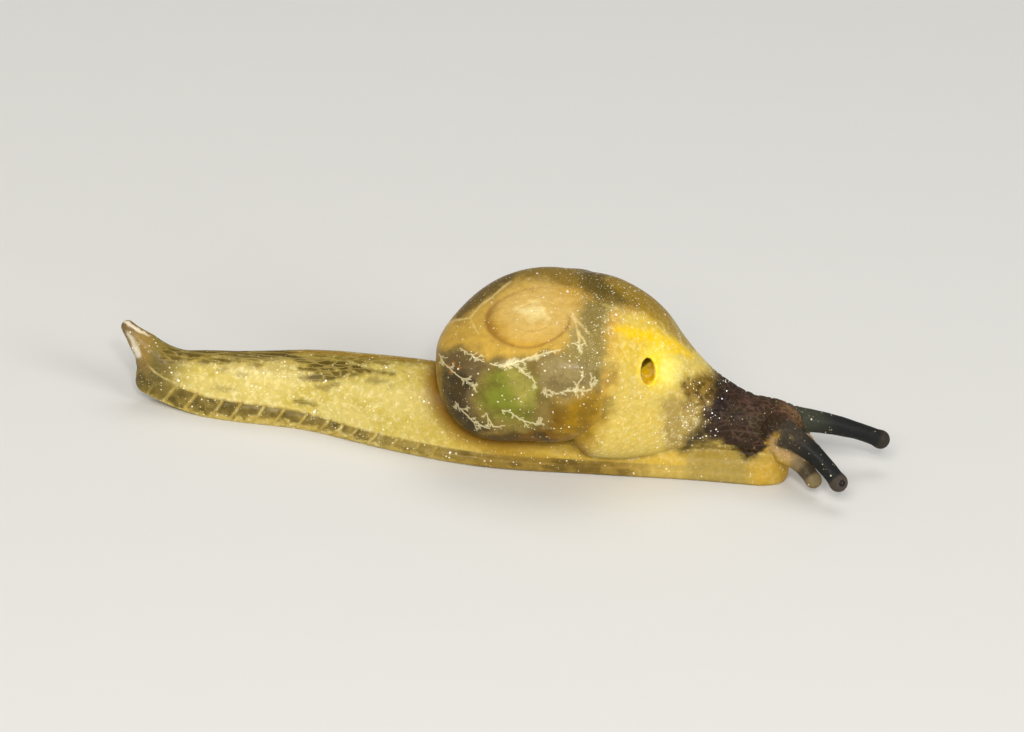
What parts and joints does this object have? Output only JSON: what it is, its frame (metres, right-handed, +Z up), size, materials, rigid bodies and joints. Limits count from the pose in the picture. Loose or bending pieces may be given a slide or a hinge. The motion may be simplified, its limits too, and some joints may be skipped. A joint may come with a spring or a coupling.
{
  "type": "semislug",
  "caption": "Still life-size semislug: a long foot with a horned tail, a low coiled shell partly covered by the mantle, and a head with eye stalks and feelers.",
  "frame": {"origin": "on the floor, under the middle of the whole animal", "axes": "+X toward the head, +Y to the animal's left, +Z up"},
  "size_m": [0.0229, 0.0056, 0.0056],
  "materials": {
    "tail_skin": "wet satin, pale yellow with brown streaks",
    "foot_skin": "wet satin, yellow",
    "mantle_skin": "wet gloss, golden yellow with pale specks",
    "head_skin": "wet satin, dark brown warts",
    "stalk_skin": "wet gloss, dark grey",
    "eye": "gloss black under clear skin",
    "shell": "gloss, translucent amber"
  },
  "bodies": {
    "root": {"tail_end": "tail_skin", "tail_root": "tail_skin", "tail_horn": "tail_skin", "foot_middle": "foot_skin", "foot_front": "foot_skin", "mouth": "foot_skin", "mantle": "mantle_skin", "head": "head_skin", "eye_stalk_right": "stalk_skin", "eye_stalk_left": "stalk_skin", "feeler_right": "stalk_skin", "feeler_left": "stalk_skin", "eye_right": "eye", "eye_left": "eye", "shell": "shell"}
  },
  "joints": []
}
